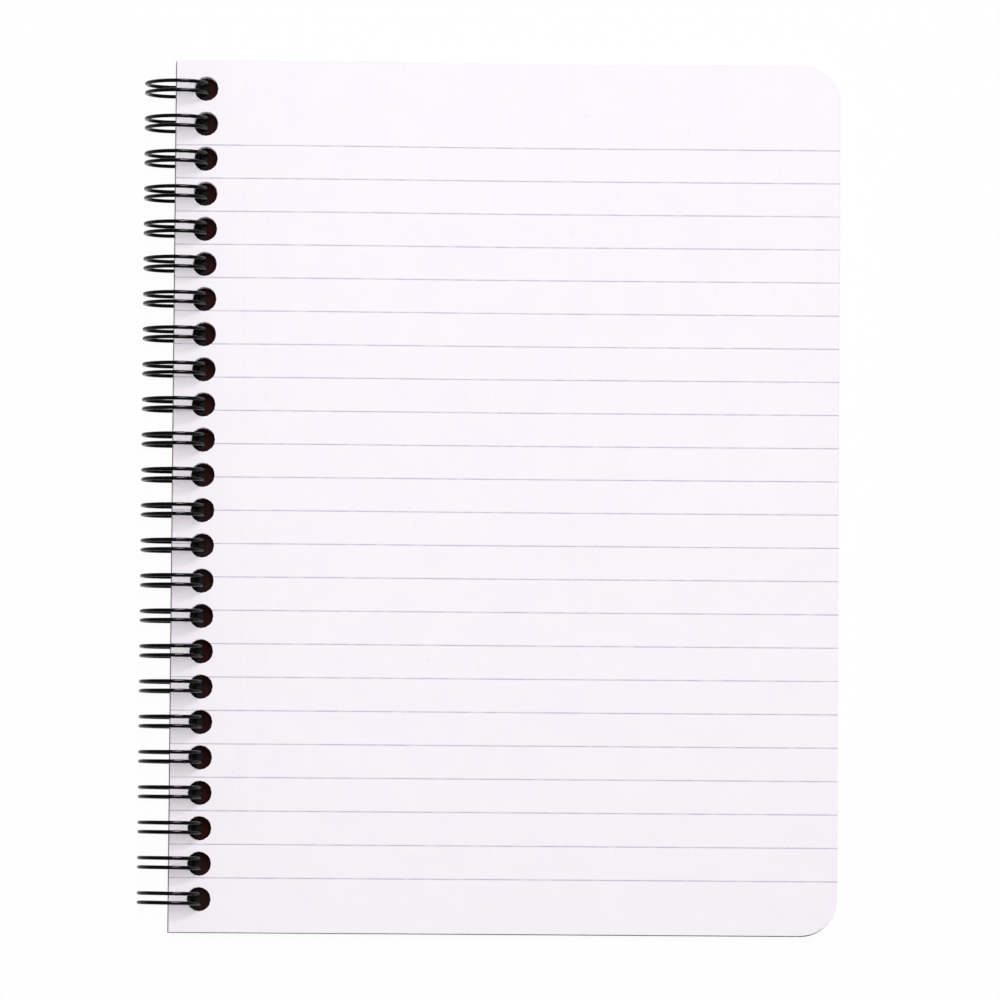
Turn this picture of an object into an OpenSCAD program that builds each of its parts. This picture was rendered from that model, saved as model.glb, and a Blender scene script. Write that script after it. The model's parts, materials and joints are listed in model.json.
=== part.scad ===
// Ruled notebook bound with a twin-loop wire, lying open with its front cover
// folded right round behind the back cover.
// Everything is laid out from the axis of the loops: x to the fore edge, y to
// the head, z up. The origin is the middle of the footprint, on the table.

/* [Sheets] */
// Width of a sheet, from the wire edge to the fore edge
page_w = 160; // [120:1:200]
// Height of a sheet, along the wire
page_h = 209.5; // [150:0.5:300]
// Radius of the two corners at the fore edge
corner_r = 8.8; // [1:0.1:15]
// Thickness of all the sheets together
pages_t = 3.8; // [2:0.1:5]

/* [Covers] */
// Thickness of each card cover
cover_t = 0.4; // [0.25:0.05:0.5]
// How far the covers reach past the sheets at the head and foot
cover_over = 0.3; // [0:0.1:1]
// How far the wire edge of the covers lies beyond the axis of the loops
cover_reach = 0.61; // [0:0.01:1]
// Air between two sheets or covers that lie on each other
stack_gap = 0.05; // [0.03:0.01:0.1]

/* [Holes] */
// Diameter of a punched hole
hole_d = 5.9; // [5.2:0.1:6.4]
// Distance from one hole to the next
hole_pitch = 8.467; // [8:0.001:9]
// Distance from the wire edge of a sheet to the middle of a hole
hole_inset = 7.11; // [6.5:0.01:7.5]
// Distance from the wire edge of a cover to the middle of a hole
cover_inset = 5.2; // [4.5:0.1:5.8]
// Distance from the head to the first hole, and the least at the foot
end_margin = 6.92; // [5:0.01:9]
// Least clearance between the wire and the holes of the sheets
sheet_clear = 0.16; // [0.1:0.02:0.3]
// How far the sheets lie from where the wire would hold them tight
sheet_slack = 0.7; // [0:0.05:1]
// Clearance between the wire and the holes of the lowest cover
cover_clear = 0.25; // [0.15:0.05:0.4]

/* [Wire] */
// Outside diameter of a loop
loop_d = 15.5; // [14:0.1:17]
// Diameter of the coated wire
wire_d = 0.9; // [0.7:0.02:1]
// Distance between the two strands of a loop, centre to centre
strand_gap = 2.25; // [2:0.05:2.6]
// Radius of the bend from a strand into the next link
shoulder_r = 1.6; // [1.2:0.1:1.9]
// How much thicker the wire swells where one bend runs into the next
bend_swell = 0.02; // [0.01:0.01:0.04]
// Clearance between the rounded tip of a loop and the shoulders it nests in
tip_clear = 0.1; // [0.05:0.05:0.3]
// Clearance of the closed seam to the sheet above and the cover below
seam_clear = 0.12; // [0.1:0.02:0.3]

/* [Lie] */
// How far from the loop axis the sheets stay lifted by the wire
lift_near = 22; // [14:1:40]
// How far from the loop axis the sheets lie flat again
lift_far = 95; // [60:1:110]

/* [Hidden] */
wire_sides = 32;
ring_sides = 96;
hole_sides = 64;
bend_steps = 20;
cut_over = 1;
paper_col = [0.97, 0.96, 0.98];
card_col = [0.10, 0.10, 0.11];
wire_col = [0.04, 0.04, 0.05];

// Loops: radius of the wire's centre line, and its height over the table
ring_r = (loop_d - wire_d) / 2;
axis_z = loop_d / 2;
loop_count = floor((page_h - 2 * end_margin) / hole_pitch) + 1;
first_y = page_h / 2 - end_margin;

// How far from the middle of a hole the inner side of its two strands may lie
function strand_reach(clear) = sqrt(pow(hole_d / 2 - clear, 2) - pow(strand_gap / 2, 2));

// Inner side of a strand, across from the loop axis, at a depth under the axis
// or the other way about
function inner_side(other) = sqrt(pow(loop_d / 2 - wire_d, 2) - pow(other, 2));

// Depths under the loop axis, at the wire edge. The lowest cover hangs as deep
// as the strands still pass its holes, and the rest is stacked up from there.
cover_x = -cover_reach;
front_drop = inner_side(cover_x + cover_inset - strand_reach(cover_clear));
back_drop = front_drop - cover_t - stack_gap;
seam_room = wire_d + 2 * seam_clear;
pages_drop = back_drop - cover_t - seam_room;

// Wire edge and fore edge of the pages, which the lowest sheet's holes would let
// slide as far as sheet_slack, and the loop axis from the middle of the footprint
page_x = inner_side(pages_drop) + strand_reach(sheet_clear) - hole_inset - sheet_slack;
fore_x = page_x + page_w;
axis_x = (loop_d / 2 - fore_x) / 2;

// Heights over the table where the stack lies flat
back_flat = cover_t + stack_gap;
pages_flat = back_flat + cover_t + stack_gap;

// Seam: the links lie midway between the pages and the back cover, and the tips
// start where their bends just clear the shoulders
link_drop = pages_drop + seam_room / 2;
base_a = -asin(link_drop / norm([ring_r, shoulder_r])) - atan(shoulder_r / ring_r);
mouth = strand_gap / 2 + shoulder_r;
tip_from_base = sqrt(pow(mouth + wire_d + tip_clear, 2) - pow(mouth, 2));
tip_a = base_a + tip_from_base / ring_r * 180 / PI;
link_l = hole_pitch - 2 * mouth;

// Share of the lift at a distance x from the loop axis, in one smooth slope
function lift(x) =
    x <= lift_near ? 1 :
    x >= lift_far ? 0 :
    (1 + cos(180 * (x - lift_near) / (lift_far - lift_near))) / 2;

function bend_x(i) = lift_near + (lift_far - lift_near) * i / bend_steps;

// Section of a sheet that lies at flat_z and is lifted to spine_z at the wire
module section(x0, flat_z, spine_z, t) {
    xs = concat([x0], [for (i = [0:bend_steps]) bend_x(i)], [fore_x]);
    under = [for (x = xs) [x, flat_z + (spine_z - flat_z) * lift(x)]];
    over = [for (i = [len(xs) - 1:-1:0]) under[i] + [0, t]];
    polygon(concat(under, over));
}

// Outline seen from above, square at the wire edge and rounded at the fore edge
module outline(x0, half_h) {
    translate([x0, -half_h]) square([fore_x - corner_r - x0, 2 * half_h]);
    translate([x0, -half_h + corner_r]) square([fore_x - x0, 2 * (half_h - corner_r)]);
    for (side = [-1, 1])
        translate([fore_x - corner_r, side * (half_h - corner_r)])
            circle(r = corner_r, $fn = hole_sides);
}

// Places each hole or loop, from the head down
module along_wire() {
    for (i = [0:loop_count - 1])
        translate([0, first_y - i * hole_pitch, 0]) children();
}

// One bent sheet or block of sheets, with its row of holes
module punched(x0, inset, half_h, flat_z, drop, t) {
    spine_z = axis_z - drop;
    top_z = spine_z + t + cut_over;
    difference() {
        intersection() {
            translate([0, half_h, 0]) rotate([90, 0, 0])
                linear_extrude(height = 2 * half_h) section(x0, flat_z, spine_z, t);
            translate([0, 0, -cut_over]) linear_extrude(height = top_z + cut_over)
                outline(x0, half_h);
        }
        along_wire() translate([x0 + inset, 0, spine_z - cut_over])
            cylinder(d = hole_d, h = t + 2 * cut_over, $fn = hole_sides);
    }
}

// Part of a ring of wire of radius r, from angle a0 over the angle span
module wire_arc(r, a0, span) {
    rotate_extrude(angle = span, start = a0, $fn = ring_sides)
        translate([r, 0]) circle(d = wire_d, $fn = wire_sides);
}

// Frame that touches the loop at angle a: x outwards, y along the wire, z on
// round the loop
module on_loop(a, y) {
    rotate([0, -a, 0]) translate([ring_r, y, 0]) children();
}

// The slight swelling that joins two bends into one wire
module knuckle() {
    sphere(d = wire_d + bend_swell, $fn = wire_sides);
}

module strand(y) {
    translate([0, y, 0]) rotate([90, 0, 0]) wire_arc(ring_r, tip_a, base_a + 360 - tip_a);
    on_loop(tip_a, y) knuckle();
    on_loop(base_a, y) knuckle();
}

module tip() {
    on_loop(tip_a, 0) rotate([0, 90, 0]) wire_arc(strand_gap / 2, -90, 180);
}

// Bend from a strand into the link beside it, side 1 to the head, -1 to the foot
module shoulder(side) {
    on_loop(base_a, side * mouth) {
        rotate([0, 90, 0]) wire_arc(shoulder_r, side > 0 ? 180 : 90, 90);
        translate([0, 0, shoulder_r]) knuckle();
    }
}

module link() {
    on_loop(base_a, -mouth) translate([0, 0, shoulder_r]) rotate([90, 0, 0])
        cylinder(d = wire_d, h = link_l, $fn = wire_sides);
}

module pages() {
    color(paper_col) translate([axis_x, 0, 0])
        punched(page_x, hole_inset, page_h / 2, pages_flat, pages_drop, pages_t);
}

// One wire from end to end: each loop's two strands meet in its tip, and links
// join it to its neighbours
module wire_binding() {
    color(wire_col) translate([axis_x, 0, axis_z])
        for (i = [0:loop_count - 1])
            translate([0, first_y - i * hole_pitch, 0]) {
                for (side = [-1, 1]) strand(side * strand_gap / 2);
                tip();
                if (i > 0) shoulder(1);
                if (i < loop_count - 1) {
                    shoulder(-1);
                    link();
                }
            }
}

module cover(flat_z, drop) {
    color(card_col) translate([axis_x, 0, 0])
        punched(cover_x, cover_inset, page_h / 2 + cover_over, flat_z, drop, cover_t);
}

module back_cover() {
    cover(back_flat, back_drop);
}

module front_cover() {
    cover(0, front_drop);
}

pages();
wire_binding();
back_cover();
front_cover();
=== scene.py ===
import json
import math
import bpy
import bmesh
from mathutils import Euler, Matrix, Vector


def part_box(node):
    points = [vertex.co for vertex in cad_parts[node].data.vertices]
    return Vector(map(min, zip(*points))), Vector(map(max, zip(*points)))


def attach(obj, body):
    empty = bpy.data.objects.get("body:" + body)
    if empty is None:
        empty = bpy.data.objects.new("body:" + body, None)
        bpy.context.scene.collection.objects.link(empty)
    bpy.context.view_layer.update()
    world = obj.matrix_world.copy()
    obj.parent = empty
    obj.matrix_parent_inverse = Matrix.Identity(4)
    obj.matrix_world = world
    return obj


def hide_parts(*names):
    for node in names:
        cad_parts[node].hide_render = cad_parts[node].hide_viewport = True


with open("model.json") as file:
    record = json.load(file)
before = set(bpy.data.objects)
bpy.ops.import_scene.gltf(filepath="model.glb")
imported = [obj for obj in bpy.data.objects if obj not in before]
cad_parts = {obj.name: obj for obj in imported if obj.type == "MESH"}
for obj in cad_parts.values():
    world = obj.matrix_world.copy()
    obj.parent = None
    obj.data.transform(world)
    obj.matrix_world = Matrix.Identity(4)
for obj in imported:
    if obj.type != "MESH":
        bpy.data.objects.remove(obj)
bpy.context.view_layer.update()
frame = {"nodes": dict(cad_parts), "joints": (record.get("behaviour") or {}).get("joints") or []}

mm = 0.001
tiny = 1e-9
scene = bpy.context.scene
print("stage: frame loaded,", len(frame["nodes"]), "nodes")


class Value:             # a socket that Python operators turn into Math nodes
    def __init__(self, tree, socket):
        self.tree = tree
        self.socket = socket

    def maths(self, operation, *others):
        values = {0: self, **{i + 1: other for i, other in enumerate(others)}}
        return self.tree.add("ShaderNodeMath", {"operation": operation}, values)

    def __add__(self, other):
        return self.maths("ADD", other)

    __radd__ = __add__

    def __sub__(self, other):
        return self.maths("SUBTRACT", other)

    def __rsub__(self, other):
        return (self * -1) + other

    def __mul__(self, other):
        return self.maths("MULTIPLY", other)

    __rmul__ = __mul__

    def __truediv__(self, other):
        return self.maths("DIVIDE", other)

    def __rpow__(self, other):
        return self.tree.add("ShaderNodeMath", {"operation": "POWER"}, {0: other, 1: self})

    def clamped(self):
        return self.maths("MINIMUM", 1).maths("MAXIMUM", 0)

    def step(self, start, end):          # 0 before start, 1 after end, smooth between
        settings = {"interpolation_type": "SMOOTHSTEP"}
        return self.tree.add("ShaderNodeMapRange", settings,
                             {"Value": self, "From Min": start, "From Max": end}, "Result")


class Tree:              # adds nodes to a shader or a geometry tree
    def __init__(self, nodeTree):
        self.nodeTree = nodeTree

    def feed(self, socket, value):
        if isinstance(value, Value):
            self.nodeTree.links.new(value.socket, socket)
        elif value is not None:
            socket.default_value = value

    def add(self, kind, settings=None, values=None, out=0):
        node = self.nodeTree.nodes.new(kind)
        for name, setting in (settings or {}).items():
            setattr(node, name, setting)
        for name, value in (values or {}).items():
            self.feed(node.inputs[name], value)
        return Value(self, node.outputs[out]) if len(node.outputs) else node

    def blend(self, share, first, second):          # mixes two colours
        values = {"Factor": share, 6: first, 7: second}
        return self.add("ShaderNodeMix", {"data_type": "RGBA"}, values, 2)

    def noise(self, where, size, detail=2.0, rough=0.5, stretch=(1, 1, 1)):
        scale = [s / size for s in stretch]
        place = self.add("ShaderNodeMapping", None, {"Vector": where, "Scale": scale})
        return self.add("ShaderNodeTexNoise", None,
                        {"Vector": place, "Scale": 1.0, "Detail": detail, "Roughness": rough}, "Fac")

    def bump(self, strength, depth, height):
        values = {"Strength": strength, "Distance": depth, "Height": height}
        return self.add("ShaderNodeBump", None, values, "Normal")

    def apart(self, vector):             # the three parts of a vector
        split = self.add("ShaderNodeSeparateXYZ", None, {0: vector})
        node = split.socket.node
        return [Value(self, output) for output in node.outputs]


def newMaterial(name):
    material = bpy.data.materials.new(name)
    material.use_nodes = True
    material.node_tree.nodes.clear()
    return material, Tree(material.node_tree)


def finishMaterial(tree, surface):
    out = tree.add("ShaderNodeOutputMaterial")
    tree.feed(out.inputs["Surface"], surface)


def rgba(red, green, blue):
    return (red, green, blue, 1.0)


# Where things lie. The frame gives the loop axis and every edge of the pages.
joint = {j["name"]: j for j in frame["joints"]}["front_cover_turn"]
axisX, axisZ = joint["pos_m"][0], joint["pos_m"][2]
pageLow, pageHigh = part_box("pages")
backLow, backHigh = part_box("back_cover")

lie = {
    "thick": 3.8 * mm,       # the whole block
    "near": 22 * mm,         # the sheets stay lifted up to here, from the loop axis
    "far": 95 * mm,          # and lie flat from here on
    "holeInset": 7.11 * mm,  # wire edge to the middle of a hole
    "holeWide": 5.9 * mm,
    "pitch": 8.467 * mm,
    "headMargin": 6.92 * mm,  # head to the first hole
    "holes": 24,
    "corner": 8.8 * mm,
}
firstHoleY = pageHigh.y - lie["headMargin"]
spineLowZ = pageHigh.z - lie["thick"]
holeYs = [firstHoleY - i * lie["pitch"] for i in range(lie["holes"])]


# Camera, high over the page and a little to the foot of its middle
view = {
    "place": (axisX + 69.25 * mm, pageHigh.y - 179.7 * mm, 1373.2 * mm),
    "turn": (0.054209, -0.006697, 0.007007),
    "lens": 205.27,
    "sensor": 36.0,
}


def makeCamera():
    data = bpy.data.cameras.new("camera")
    data.lens = view["lens"]
    data.sensor_width = view["sensor"]
    data.clip_end = 20.0
    camera = bpy.data.objects.new("camera", data)
    scene.collection.objects.link(camera)
    turn = Euler(view["turn"], "ZXY").to_matrix().to_4x4()
    camera.matrix_world = Matrix.Translation(view["place"]) @ turn
    scene.camera = camera


makeCamera()
print("stage: camera placed")


# Light: a soft lamp high over the page, a weaker one beside the camera, one beyond
# the head that only draws the highlights on the wire, and an even sky
light = {
    "key": {"place": (0.05, 0.31, 1.15), "size": (0.50, 0.50), "power": 8.3, "mirrored": False},
    "fill": {"place": (0.0, 0.0, 1.37), "size": (0.30, 0.30), "power": 4.4, "mirrored": False},
    "side": {"place": (0.56, 1.07, 0.88), "size": (0.45, 1.40), "power": 62.0, "mirrored": True},
    "sky": 0.22,
    "floorShare": 0.95,      # how much of the white floor is its own light, to the camera
    "shadeFrom": 1.5 * mm,   # painted shade: the strip of floor under the holes, where no light gets in, is painted dark, from the wire edge of the covers
    "shadeTo": 9.5 * mm,     # from the wire edge of the covers
    "pale": rgba(0.93, 0.93, 0.93),
    "shaded": rgba(0.03, 0.028, 0.028),
    "floorHalf": 8.0,
}


def makeLamp(name):
    lamp = light[name]
    data = bpy.data.lights.new(name, "AREA")
    data.shape = "ELLIPSE"
    data.size, data.size_y = lamp["size"]
    data.energy = lamp["power"]
    piece = bpy.data.objects.new(name, data)
    scene.collection.objects.link(piece)
    piece.visible_glossy = lamp["mirrored"]
    piece.visible_diffuse = not lamp["mirrored"]
    place = Vector(lamp["place"])
    piece.matrix_world = Matrix.Translation(place) @ place.to_track_quat("Z", "Y").to_matrix().to_4x4()


def makeSky():
    world = bpy.data.worlds.new("studio")
    scene.world = world
    world.use_nodes = True
    world.node_tree.nodes.clear()
    tree = Tree(world.node_tree)
    glow = tree.add("ShaderNodeBackground", None, {"Color": rgba(1, 1, 1), "Strength": light["sky"]})
    out = tree.add("ShaderNodeOutputWorld")
    tree.feed(out.inputs["Surface"], glow)


def makeFloor():
    material, tree = newMaterial("paleFloor")
    ray = tree.add("ShaderNodeLightPath").socket.node
    seen = Value(tree, ray.outputs["Is Camera Ray"])
    seen = seen.maths("MAXIMUM", Value(tree, ray.outputs["Is Glossy Ray"]))
    seen = seen.maths("MAXIMUM", Value(tree, ray.outputs["Is Transmission Ray"]))
    x, y = tree.apart(tree.add("ShaderNodeTexCoord", None, None, "Object"))[:2]
    near, far = backLow.x + light["shadeFrom"], backLow.x + light["shadeTo"]
    foot, head = holeYs[-1] - lie["holeWide"] / 2, holeYs[0] + lie["holeWide"] / 2
    # painted shade: the strip under the holes gets the dark colour and none of the floor's own glow
    shade = x.maths("COMPARE", (near + far) / 2, (far - near) / 2)
    shade = shade * y.maths("COMPARE", (foot + head) / 2, (head - foot) / 2)
    colour = tree.blend(shade, light["pale"], light["shaded"])
    plain = tree.add("ShaderNodeBsdfDiffuse", None, {"Color": colour})
    glow = tree.add("ShaderNodeEmission", None, {"Color": rgba(1, 1, 1), "Strength": 1.0})
    share = seen * (1 - shade) * light["floorShare"]
    finishMaterial(tree, tree.add("ShaderNodeMixShader", None, {0: share, 1: plain, 2: glow}))
    mesh = bpy.data.meshes.new("floor")
    half = light["floorHalf"]
    corners = [(-half, -half, 0), (half, -half, 0), (half, half, 0), (-half, half, 0)]
    mesh.from_pydata(corners, [], [(0, 1, 2, 3)])
    mesh.materials.append(material)
    floor = bpy.data.objects.new("floor", mesh)
    scene.collection.objects.link(floor)


makeLamp("key")
makeLamp("fill")
makeLamp("side")
makeSky()
makeFloor()
scene.view_settings.view_transform = "Standard"
print("stage: light and floor made")


# Materials
paper = {
    "colour": rgba(0.945, 0.903, 0.957),
    "shade": rgba(0.925, 0.880, 0.940),      # the slightly greyer patches
    "rule": rgba(0.52, 0.465, 0.61),
    "speck": rgba(0.50, 0.45, 0.52),
    "ruleStep": 8 * mm,
    "ruleWide": 0.24 * mm,
    "ruleCore": 0.5,                         # the ink is full up to this share of its half width,
    "ruleFade": 1.7,                         # and gone at this one
    "inkLeast": 0.55,                        # how strong the faintest stretches of a rule are
    "ruleFromHead": 20.51 * mm,
    "rules": 23,
    "tearFromEdge": 16.6 * mm,               # the perforated line where a sheet tears off
    "tearStep": 1.4 * mm,
    "tearCore": 0.04 * mm,
    "tearFade": 0.14 * mm,
    "tearStrength": 0.10,
    "speckStep": 12 * mm,
    "speckCore": 0.006,                      # size of a speck, in shares of that step
    "speckFade": 0.017,
    "speckPatch": 15 * mm,
    "speckStrength": 0.50,
    "rimWide": 0.30 * mm,                    # the fore edge, with painted shade as a thin grey line
    "rimStrength": 0.16,
    "inkSize": 4 * mm,
    "mottleSize": 9 * mm,
    "mottleStrength": 0.6,
    "fibreSize": 0.35 * mm,
    "fibreDeep": 0.02 * mm,
    "rough": 0.80,
    "roughVary": 0.12,
    "shine": 0.25,
}


def makePaper():
    material, tree = newMaterial("ruledPaper")
    page = tree.add("ShaderNodeAttribute", {"attribute_name": "page"}, None, "Vector")
    across, down = tree.apart(page)[:2]      # metres from the wire edge and from the head
    place = tree.add("ShaderNodeTexCoord", None, None, "Object")

    line = (down - paper["ruleFromHead"]) / paper["ruleStep"]
    nearest = line.maths("ROUND").maths("MAXIMUM", 0).maths("MINIMUM", paper["rules"] - 1)
    away = (line - nearest).maths("ABSOLUTE") * paper["ruleStep"]
    half = paper["ruleWide"] / 2
    ruled = 1 - away.step(half * paper["ruleCore"], half * paper["ruleFade"])
    inked = tree.noise(page, paper["inkSize"], 3.0, 0.6, (1, 6, 1)).step(0.30, 0.62)
    inked = inked * (1 - paper["inkLeast"]) + paper["inkLeast"]

    mottle = tree.noise(place, paper["mottleSize"], 3.0, 0.6).step(0.35, 0.70)
    fibre = tree.noise(place, paper["fibreSize"], 3.0, 0.65)
    colour = tree.blend(mottle * paper["mottleStrength"], paper["colour"], paper["shade"])

    cell = tree.add("ShaderNodeMapping", None, {"Vector": page, "Scale": [1 / paper["speckStep"]] * 3})
    spot = tree.add("ShaderNodeTexVoronoi", {"voronoi_dimensions": "2D"},
                    {"Vector": cell, "Scale": 1.0}, "Distance")
    patch = tree.noise(page, paper["speckPatch"], 1.0).step(0.50, 0.62)
    speck = (1 - spot.step(paper["speckCore"], paper["speckFade"])) * patch * paper["speckStrength"]
    colour = tree.blend(speck, colour, paper["speck"])
    colour = tree.blend(ruled * inked, colour, paper["rule"])

    offTear = (across - paper["tearFromEdge"]).maths("ABSOLUTE")
    dash = (down / paper["tearStep"]).maths("FRACT").step(0.30, 0.42)
    tear = (1 - offTear.step(paper["tearCore"], paper["tearFade"])) * dash
    colour = tree.blend(tear * paper["tearStrength"], colour, paper["speck"])

    # painted shade: a thin grey line along the fore edge of each sheet
    rim = 1 - (across * -1 + (pageHigh.x - pageLow.x)).step(0.0, paper["rimWide"])
    colour = tree.blend(rim * paper["rimStrength"], colour, paper["speck"])

    height = fibre * 0.5 - tear * 1.2
    bump = tree.bump(0.35, paper["fibreDeep"], height)
    skin = tree.add("ShaderNodeBsdfPrincipled", None, {
        "Base Color": colour,
        "Roughness": fibre * paper["roughVary"] + paper["rough"],
        "Specular IOR Level": paper["shine"],
        "Normal": bump,
    })
    finishMaterial(tree, skin)
    return material


card = {
    "black": rgba(0.012, 0.011, 0.012),
    "lining": rgba(0.023, 0.0052, 0.0052),     # dark red paper pasted on the inner faces
    "worn": rgba(0.10, 0.09, 0.09),
    "core": rgba(0.34, 0.31, 0.31),          # grey board, bare where the rim is worn
    "rimWide": 0.45 * mm,
    "rimCore": 0.6,                          # the share of the rim that is all bare
    "wornWide": 0.9 * mm,
    "liningInset": 1.6 * mm,
    "liningFade": 0.1 * mm,
    "grainSize": 0.5 * mm,
    "grainDeep": 0.03 * mm,
    "cloudSize": 14 * mm,
    "cloudStrength": 0.08,
    "wornSize": 3 * mm,
    "wornStrength": 0.5,
    "rough": 0.5,
    "roughVary": 0.2,
    "shine": 0.12,
}


def makeCard(name, low, high, innerSide):    # innerSide: 1 for a lining on top, -1 under
    material, tree = newMaterial(name)
    place = tree.add("ShaderNodeTexCoord", None, None, "Object")
    facing = tree.add("ShaderNodeTexCoord", None, None, "Normal")
    x, y = tree.apart(place)[:2]
    inner = tree.apart(facing)[2] * innerSide
    inset = (x - low.x).maths("MINIMUM", (x * -1) + high.x)
    inset = inset.maths("MINIMUM", (y - low.y).maths("MINIMUM", (y * -1) + high.y))
    grain = tree.noise(place, card["grainSize"], 3.0, 0.6)
    cloud = tree.noise(place, card["cloudSize"], 3.0, 0.55)
    scuff = tree.noise(place, card["wornSize"], 3.0, 0.6).step(0.50, 0.72)
    worn = (1 - inset.step(0.0, card["wornWide"])) * scuff * card["wornStrength"]
    inside = inset.step(card["liningInset"], card["liningInset"] + card["liningFade"])
    inside = inside * inner.step(0.5, 0.8)
    colour = tree.blend(inside, card["black"], card["lining"])
    colour = tree.blend(cloud.step(0.40, 0.75) * card["cloudStrength"], colour, card["worn"])
    colour = tree.blend(worn, colour, card["worn"])
    bare = (1 - inset.step(card["rimWide"] * card["rimCore"], card["rimWide"])) * (grain * 0.5 + 0.5)
    colour = tree.blend(bare, colour, card["core"])
    bump = tree.bump(0.5, card["grainDeep"], grain)
    skin = tree.add("ShaderNodeBsdfPrincipled", None, {
        "Base Color": colour,
        "Roughness": cloud * card["roughVary"] + card["rough"],
        "Specular IOR Level": card["shine"],
        "Normal": bump,
    })
    finishMaterial(tree, skin)
    return material


coating = {
    "colour": rgba(0.002, 0.002, 0.0024),
    "rubbed": rgba(0.008, 0.008, 0.009),
    "peelSize": 0.4 * mm,
    "peelDeep": 0.02 * mm,
    "rubSize": 2.5 * mm,
    "rubStrength": 0.5,
    "rough": 0.15,
    "roughVary": 0.08,
    "shine": 0.12,
}


def makeCoating():
    material, tree = newMaterial("blackWireCoating")
    place = tree.add("ShaderNodeTexCoord", None, None, "Object")
    peel = tree.noise(place, coating["peelSize"], 2.0, 0.5)
    rub = tree.noise(place, coating["rubSize"], 3.0, 0.6).step(0.52, 0.74)
    colour = tree.blend(rub * coating["rubStrength"], coating["colour"], coating["rubbed"])
    bump = tree.bump(0.12, coating["peelDeep"], peel)
    skin = tree.add("ShaderNodeBsdfPrincipled", None, {
        "Base Color": colour,
        "Roughness": rub * coating["roughVary"] + coating["rough"],
        "Specular IOR Level": coating["shine"],
        "Normal": bump,
    })
    finishMaterial(tree, skin)
    return material


ruledPaper = makePaper()
wireCoating = makeCoating()
print("stage: materials made")


# Geometry trees
def newTree(name, inputs):               # inputs: name -> (socket type, value)
    nodeTree = bpy.data.node_groups.new(name, "GeometryNodeTree")
    nodeTree.interface.new_socket(name="Geometry", in_out="INPUT", socket_type="NodeSocketGeometry")
    for label, (kind, value) in inputs.items():
        socket = nodeTree.interface.new_socket(name=label, in_out="INPUT", socket_type=kind)
        socket.default_value = value
    nodeTree.interface.new_socket(name="Geometry", in_out="OUTPUT", socket_type="NodeSocketGeometry")
    tree = Tree(nodeTree)
    group = nodeTree.nodes.new("NodeGroupInput")
    given = {output.name: Value(tree, output) for output in group.outputs if output.name}
    return tree, given


def endTree(tree, geometry, material):
    real = tree.add("GeometryNodeRealizeInstances", None, {"Geometry": geometry})
    coated = tree.add("GeometryNodeSetMaterial", None, {"Geometry": real, "Material": material})
    out = tree.nodeTree.nodes.new("NodeGroupOutput")
    tree.feed(out.inputs["Geometry"], coated)


def grow(name, mesh, tree, values):      # runs a tree on a mesh and keeps the plain result
    piece = bpy.data.objects.new(name, mesh)
    scene.collection.objects.link(piece)
    modifier = piece.modifiers.new(name, "NODES")
    modifier.node_group = tree.nodeTree
    for item in tree.nodeTree.interface.items_tree:
        if item.in_out == "INPUT" and item.name in values:
            modifier[item.identifier] = values[item.name]
    bpy.context.view_layer.update()
    ready = piece.evaluated_get(bpy.context.evaluated_depsgraph_get())
    result = bpy.data.meshes.new_from_object(ready)
    piece.modifiers.clear()
    piece.data = result
    result.name = name
    return piece


# Wire: one line from end to end through every loop, swept with a round section
wire = {
    "thick": 0.9 * mm,
    "loopWide": 15.49 * mm,
    "strandGap": 2.25 * mm,
    "shoulder": 1.6 * mm,
    "tipClear": 0.1 * mm,
    "slack": 0.15 * mm,      # how far the tops of all loops hang to the foot,
    "lean": 0.53 * mm,       # and how far the last one leans back to the head
    "loopSteps": 56,
    "bendSteps": 7,
    "sides": 14,
}


def wirePath():
    radius = (wire["loopWide"] - wire["thick"]) / 2
    half = wire["strandGap"] / 2
    bend = wire["shoulder"]
    linkDrop = axisZ - (backHigh.z + spineLowZ) / 2
    baseTurn = -math.asin(linkDrop / math.hypot(radius, bend)) - math.atan(bend / radius)
    mouth = half + bend
    reach = math.sqrt((mouth + wire["thick"] + wire["tipClear"]) ** 2 - mouth ** 2)
    tipTurn = baseTurn + reach / radius

    def onLoop(turn, y, along):          # a point beside the loop: along runs on round it
        x = axisX + radius * math.cos(turn) - along * math.sin(turn)
        z = axisZ + radius * math.sin(turn) + along * math.cos(turn)
        return Vector((x, y, z))

    def shoulder(side, y):               # from a strand's foot out to the link
        steps = [math.pi / 2 * i / wire["bendSteps"] for i in range(wire["bendSteps"] + 1)]
        return [onLoop(baseTurn, y + side * (mouth - bend * math.cos(s)), bend * math.sin(s))
                for s in steps]

    def strand(y):                       # from the tip round to the foot
        sweep = baseTurn + 2 * math.pi - tipTurn
        down = max(0, (holeYs[0] - y) / (holeYs[0] - holeYs[-1]) * 2 - 1)
        lean = wire["lean"] * down ** 1.5 - wire["slack"]
        steps = [i / wire["loopSteps"] for i in range(wire["loopSteps"] + 1)]
        return [onLoop(tipTurn + sweep * s, y + lean * math.sin(math.pi * s), 0) for s in steps]

    def tip(y):                          # from the strand at the head side to the other
        steps = [math.pi * i / (2 * wire["bendSteps"]) for i in range(1, 2 * wire["bendSteps"])]
        return [onLoop(tipTurn, y + half * math.cos(s), -half * math.sin(s)) for s in steps]

    path = []
    for i, y in enumerate(holeYs):
        if i > 0:
            path += reversed(shoulder(1, y)[1:])
        path += reversed(strand(y + half))
        path += tip(y)
        path += strand(y - half)
        if i < len(holeYs) - 1:
            path += shoulder(-1, y)[1:]
    return path


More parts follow.
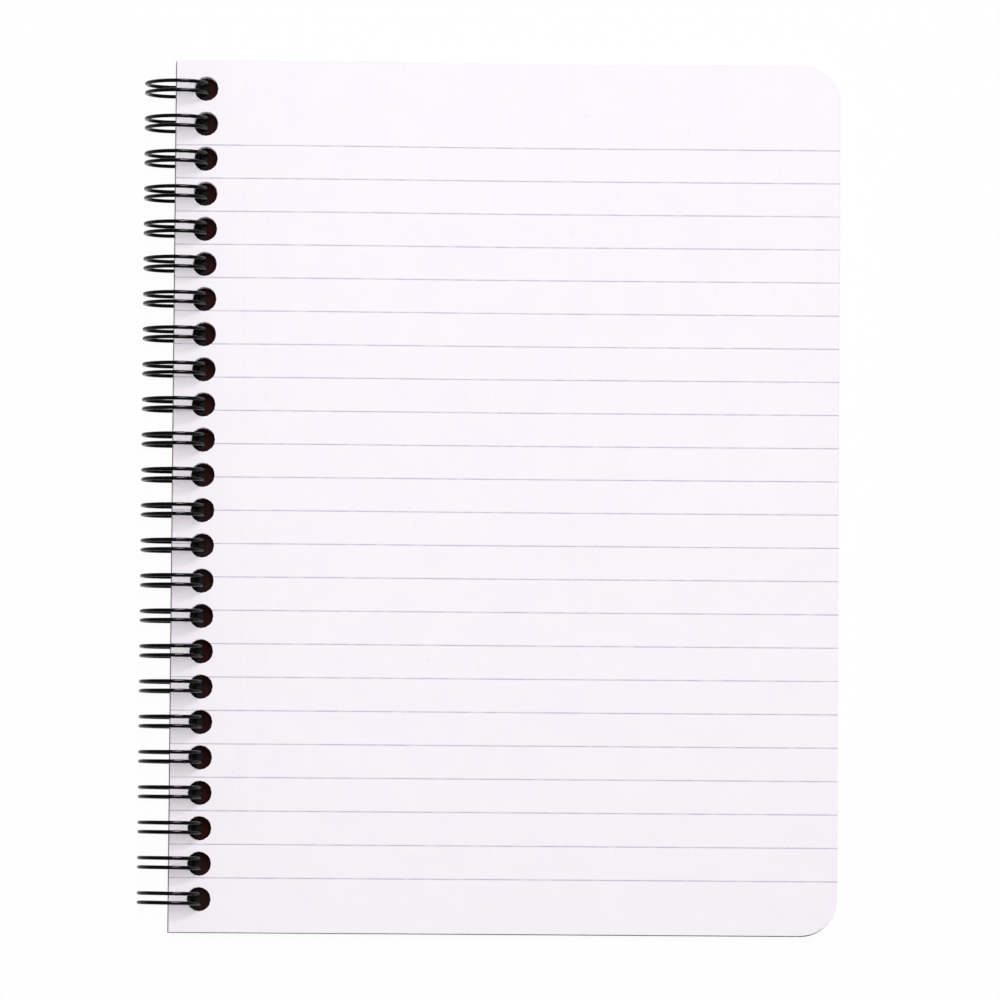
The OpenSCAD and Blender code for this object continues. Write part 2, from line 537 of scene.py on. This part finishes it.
def wireTree():
    tree, given = newTree("wireSweep", {
        "Radius": ("NodeSocketFloat", wire["thick"] / 2),
        "Sides": ("NodeSocketInt", wire["sides"]),
    })
    line = tree.add("GeometryNodeMeshToCurve", None, {"Mesh": given["Geometry"]})
    ring = tree.add("GeometryNodeCurvePrimitiveCircle", {"mode": "RADIUS"},
                    {"Resolution": given["Sides"], "Radius": given["Radius"]})
    tube = tree.add("GeometryNodeCurveToMesh", None,
                    {"Curve": line, "Profile Curve": ring, "Fill Caps": True})
    smooth = tree.add("GeometryNodeSetShadeSmooth", {"domain": "FACE"}, {0: tube})
    endTree(tree, smooth, wireCoating)
    return tree


def makeWire():
    path = wirePath()
    mesh = bpy.data.meshes.new("wirePath")
    mesh.from_pydata(path, [(i, i + 1) for i in range(len(path) - 1)], [])
    piece = grow("wireBinding", mesh, wireTree(), {"Radius": wire["thick"] / 2, "Sides": wire["sides"]})
    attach(piece, "back")
    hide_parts("wire_binding")
    print("stage: wire swept,", len(path), "points,", len(piece.data.polygons), "faces")


makeWire()


# Sheets: one flat punched sheet, repeated up the block, fanned and bent by the tree
leaves = {
    "count": 45,
    "air": 0.010 * mm,
    "shift": 0.05 * mm,      # how far single sheets lie out of line
    "fan": 1.15 * mm,        # how far the top sheet falls short at the foot of the fore edge
    "fanFade": 0.35,         # the share of that left in each sheet below
    "fanFrom": 0.20,         # where the fan starts, as a share of the way down,
    "fanTo": 1.1,            # and where it would be full
    "fanDeep": 20 * mm,      # how far in from the fore edge it fades out
    "bendSteps": 36,
    "cornerSteps": 12,
    "edgeSteps": 24,
    "holeSides": 16,
    "topHoleSides": 48,
    "seed": 11,
}


def foreEdge(last, right, foot, head):   # from the foot's rounded corner to the head's
    r = lie["corner"]
    arc = [math.pi / 2 * i / leaves["cornerSteps"] for i in range(leaves["cornerSteps"] + 1)]
    steps = leaves["edgeSteps"]
    straight = [foot + r + (head - foot - 2 * r) * i / steps for i in range(1, steps)]
    rim = [(last + r * math.sin(t), foot + r - r * math.cos(t)) for t in arc]
    rim += [(right, y) for y in straight]
    rim += [(last + r * math.cos(t), head - r + r * math.sin(t)) for t in arc]
    return rim


def thicken(mesh, thick):                # closes a flat mesh with an underside and rims
    bmesh.ops.recalc_face_normals(mesh, faces=mesh.faces)
    bmesh.ops.triangulate(mesh, faces=[f for f in mesh.faces if len(f.verts) > 4])
    rims = [e for e in mesh.edges if e.is_boundary]
    under = bmesh.ops.duplicate(mesh, geom=mesh.verts[:] + mesh.edges[:] + mesh.faces[:])
    lower = [part for part in under["geom"] if isinstance(part, bmesh.types.BMVert)]
    bmesh.ops.translate(mesh, verts=lower, vec=(0, 0, -thick))
    for rimEdge in rims:
        a, b = rimEdge.verts
        mesh.faces.new([a, b, under["vert_map"][b], under["vert_map"][a]])
    bmesh.ops.recalc_face_normals(mesh, faces=mesh.faces)


def flatSheet(name, thick, holeSides, inset):
    mesh = bmesh.new()
    made = {}

    def face(places):
        points = []
        for x, y in places:
            key = (round(x / mm, 3), round(y / mm, 3))
            if key not in made:
                made[key] = mesh.verts.new((x, y, 0))
            if made[key] not in points:
                points.append(made[key])
        mesh.faces.new(points)

    left, right = pageLow.x + inset, pageHigh.x - inset
    foot, head = pageLow.y + inset, pageHigh.y - inset
    holeX = pageLow.x + lie["holeInset"]
    reach, half = holeX - left, lie["pitch"] / 2
    radius = lie["holeWide"] / 2
    corner = math.atan2(half, reach)
    turns = [2 * math.pi * i / holeSides for i in range(holeSides)]
    turns = sorted(turns + [corner, math.pi - corner, math.pi + corner, 2 * math.pi - corner])

    def onEdge(turn):        # where a line from a hole's middle leaves its cell
        c, s = math.cos(turn), math.sin(turn)
        far = min(reach / max(abs(c), tiny), half / max(abs(s), tiny))
        return far * c, far * s

    # a ring of faces round each hole, out to the edge of its cell
    edge = [onEdge(turn) for turn in turns]
    for y in holeYs:
        for i, turn in enumerate(turns):
            after = (i + 1) % len(turns)
            inner = [(radius * math.cos(t), radius * math.sin(t)) for t in (turn, turns[after])]
            ring = [inner[0], edge[i], edge[after], inner[1]]
            face([(holeX + px, y + py) for px, py in ring])

    # beyond the cells: the strip up to the bend, both ends of the row, then the bent part
    rowYs = sorted(y + ey for y in holeYs for ex, ey in edge if abs(ex - reach) < tiny)
    cellXs = sorted(holeX + ex for ex, ey in edge if abs(ey - half) < tiny)
    stripX = holeX + reach
    top, bottom = holeYs[0] + half, holeYs[-1] - half
    near, far = axisX + lie["near"], axisX + lie["far"]
    last = right - lie["corner"]
    steps = leaves["bendSteps"]
    columns = [near + (far - near) * i / steps for i in range(steps + 1)] + [last]
    face([(columns[0], top), (columns[0], bottom)] + [(stripX, y) for y in rowYs])
    for holesEnd, sheetEnd in ((top, head), (bottom, foot)):
        face([(x, holesEnd) for x in cellXs] + [(stripX, sheetEnd), (left, sheetEnd)])
        face([(stripX, holesEnd), (columns[0], holesEnd), (columns[0], sheetEnd), (stripX, sheetEnd)])
    for x0, x1 in zip(columns, columns[1:]):
        for y0, y1 in ((foot, bottom), (bottom, top), (top, head)):
            face([(x0, y0), (x1, y0), (x1, y1), (x0, y1)])
    face(foreEdge(last, right, foot, head) + [(last, top), (last, bottom)])

    thicken(mesh, thick)
    data = bpy.data.meshes.new(name)
    mesh.to_mesh(data)
    mesh.free()
    return data


def sheetTree():
    tree, given = newTree("sheetStack", {
        "Count": ("NodeSocketInt", 1),
        "Pitch": ("NodeSocketFloat", 0.1 * mm),
        "First": ("NodeSocketFloat", 0.0),       # height of the lowest sheet's top in the block
        "Shift": ("NodeSocketFloat", 0.0),
        "Top": ("NodeSocketFloat", 0.0),         # how many sheets of the block lie over these
        "Seed": ("NodeSocketInt", 0),
    })
    position = tree.add("GeometryNodeInputPosition")
    x, y = tree.apart(position)[:2]
    flat = tree.add("ShaderNodeCombineXYZ", None,
                    {0: x - pageLow.x, 1: (y * -1) + pageHigh.y, 2: 0.0})
    marked = tree.add("GeometryNodeStoreNamedAttribute",
                      {"data_type": "FLOAT_VECTOR", "domain": "POINT"},
                      {"Geometry": given["Geometry"], "Name": "page", "Value": flat})
    offset = tree.add("ShaderNodeCombineXYZ", None, {2: given["Pitch"]})
    start = tree.add("ShaderNodeCombineXYZ", None, {2: given["First"]})
    line = tree.add("GeometryNodeMeshLine", {"mode": "OFFSET"},
                    {"Count": given["Count"], "Start Location": start, "Offset": offset})
    index = tree.add("GeometryNodeInputIndex")
    low = tree.add("ShaderNodeCombineXYZ", None, {0: given["Shift"] * -1, 1: given["Shift"] * -1})
    high = tree.add("ShaderNodeCombineXYZ", None, {0: given["Shift"], 1: given["Shift"]})
    astray = tree.add("FunctionNodeRandomValue", {"data_type": "FLOAT_VECTOR"},
                      {"Min": low, "Max": high, "ID": index, "Seed": given["Seed"]})
    moved = tree.add("GeometryNodeSetPosition", None, {"Geometry": line, "Offset": astray})
    copies = tree.add("GeometryNodeInstanceOnPoints", None, {"Points": moved, "Instance": marked})
    depth = given["Count"] - 1 - index + given["Top"]
    named = tree.add("GeometryNodeStoreNamedAttribute", {"data_type": "FLOAT", "domain": "INSTANCE"},
                     {"Geometry": copies, "Name": "depth", "Value": depth})
    real = tree.add("GeometryNodeRealizeInstances", None, {"Geometry": named})

    position = tree.add("GeometryNodeInputPosition")
    x, y, z = tree.apart(position)
    below = tree.add("GeometryNodeInputNamedAttribute", {"data_type": "FLOAT"}, {"Name": "depth"})
    down = ((y * -1) + pageHigh.y) / (pageHigh.y - pageLow.y)
    outer = ((x - pageHigh.x + leaves["fanDeep"]) / leaves["fanDeep"]).clamped()
    fan = (leaves["fanFade"] ** below) * down.step(leaves["fanFrom"], leaves["fanTo"])
    fan = fan * outer * -leaves["fan"]
    along = ((x - axisX - lie["near"]) / (lie["far"] - lie["near"])).clamped()
    lift = ((along * math.pi).maths("COSINE") + 1) / 2
    rise = lift * (spineLowZ - pageLow.z) + pageLow.z
    bent = tree.add("ShaderNodeCombineXYZ", None, {0: x + fan, 1: y, 2: z + rise})
    bentAll = tree.add("GeometryNodeSetPosition", None, {"Geometry": real, "Position": bent})
    plain = tree.add("GeometryNodeSetShadeSmooth", {"domain": "FACE"},
                     {0: bentAll, "Shade Smooth": False})
    endTree(tree, plain, ruledPaper)
    return tree


def makeSheets():
    pitch = lie["thick"] / leaves["count"]
    thick = pitch - leaves["air"]
    tree = sheetTree()
    shared = {"Pitch": pitch, "Shift": leaves["shift"], "Seed": leaves["seed"]}
    stack = grow("sheets", flatSheet("sheet", thick, leaves["holeSides"], leaves["shift"]), tree,
                 {**shared, "Count": leaves["count"] - 1, "First": pitch, "Top": 1.0})
    top = grow("topSheet", flatSheet("topSheetFlat", thick, leaves["topHoleSides"], 0), tree,
               {**shared, "Count": 1, "First": lie["thick"], "Shift": 0.0, "Top": 0.0})
    for piece in (stack, top):
        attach(piece, "block")
        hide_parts("pages")
        print("stage:", piece.name, "made,", len(piece.data.polygons), "faces")


makeSheets()


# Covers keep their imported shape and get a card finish
def dressCovers():
    for node, innerSide in (("back_cover", 1), ("front_cover", -1)):
        low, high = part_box(node)
        piece = frame["nodes"][node]
        piece.data.materials.clear()
        piece.data.materials.append(makeCard(node + "Card", low, high, innerSide))
    print("stage: covers dressed")


dressCovers()
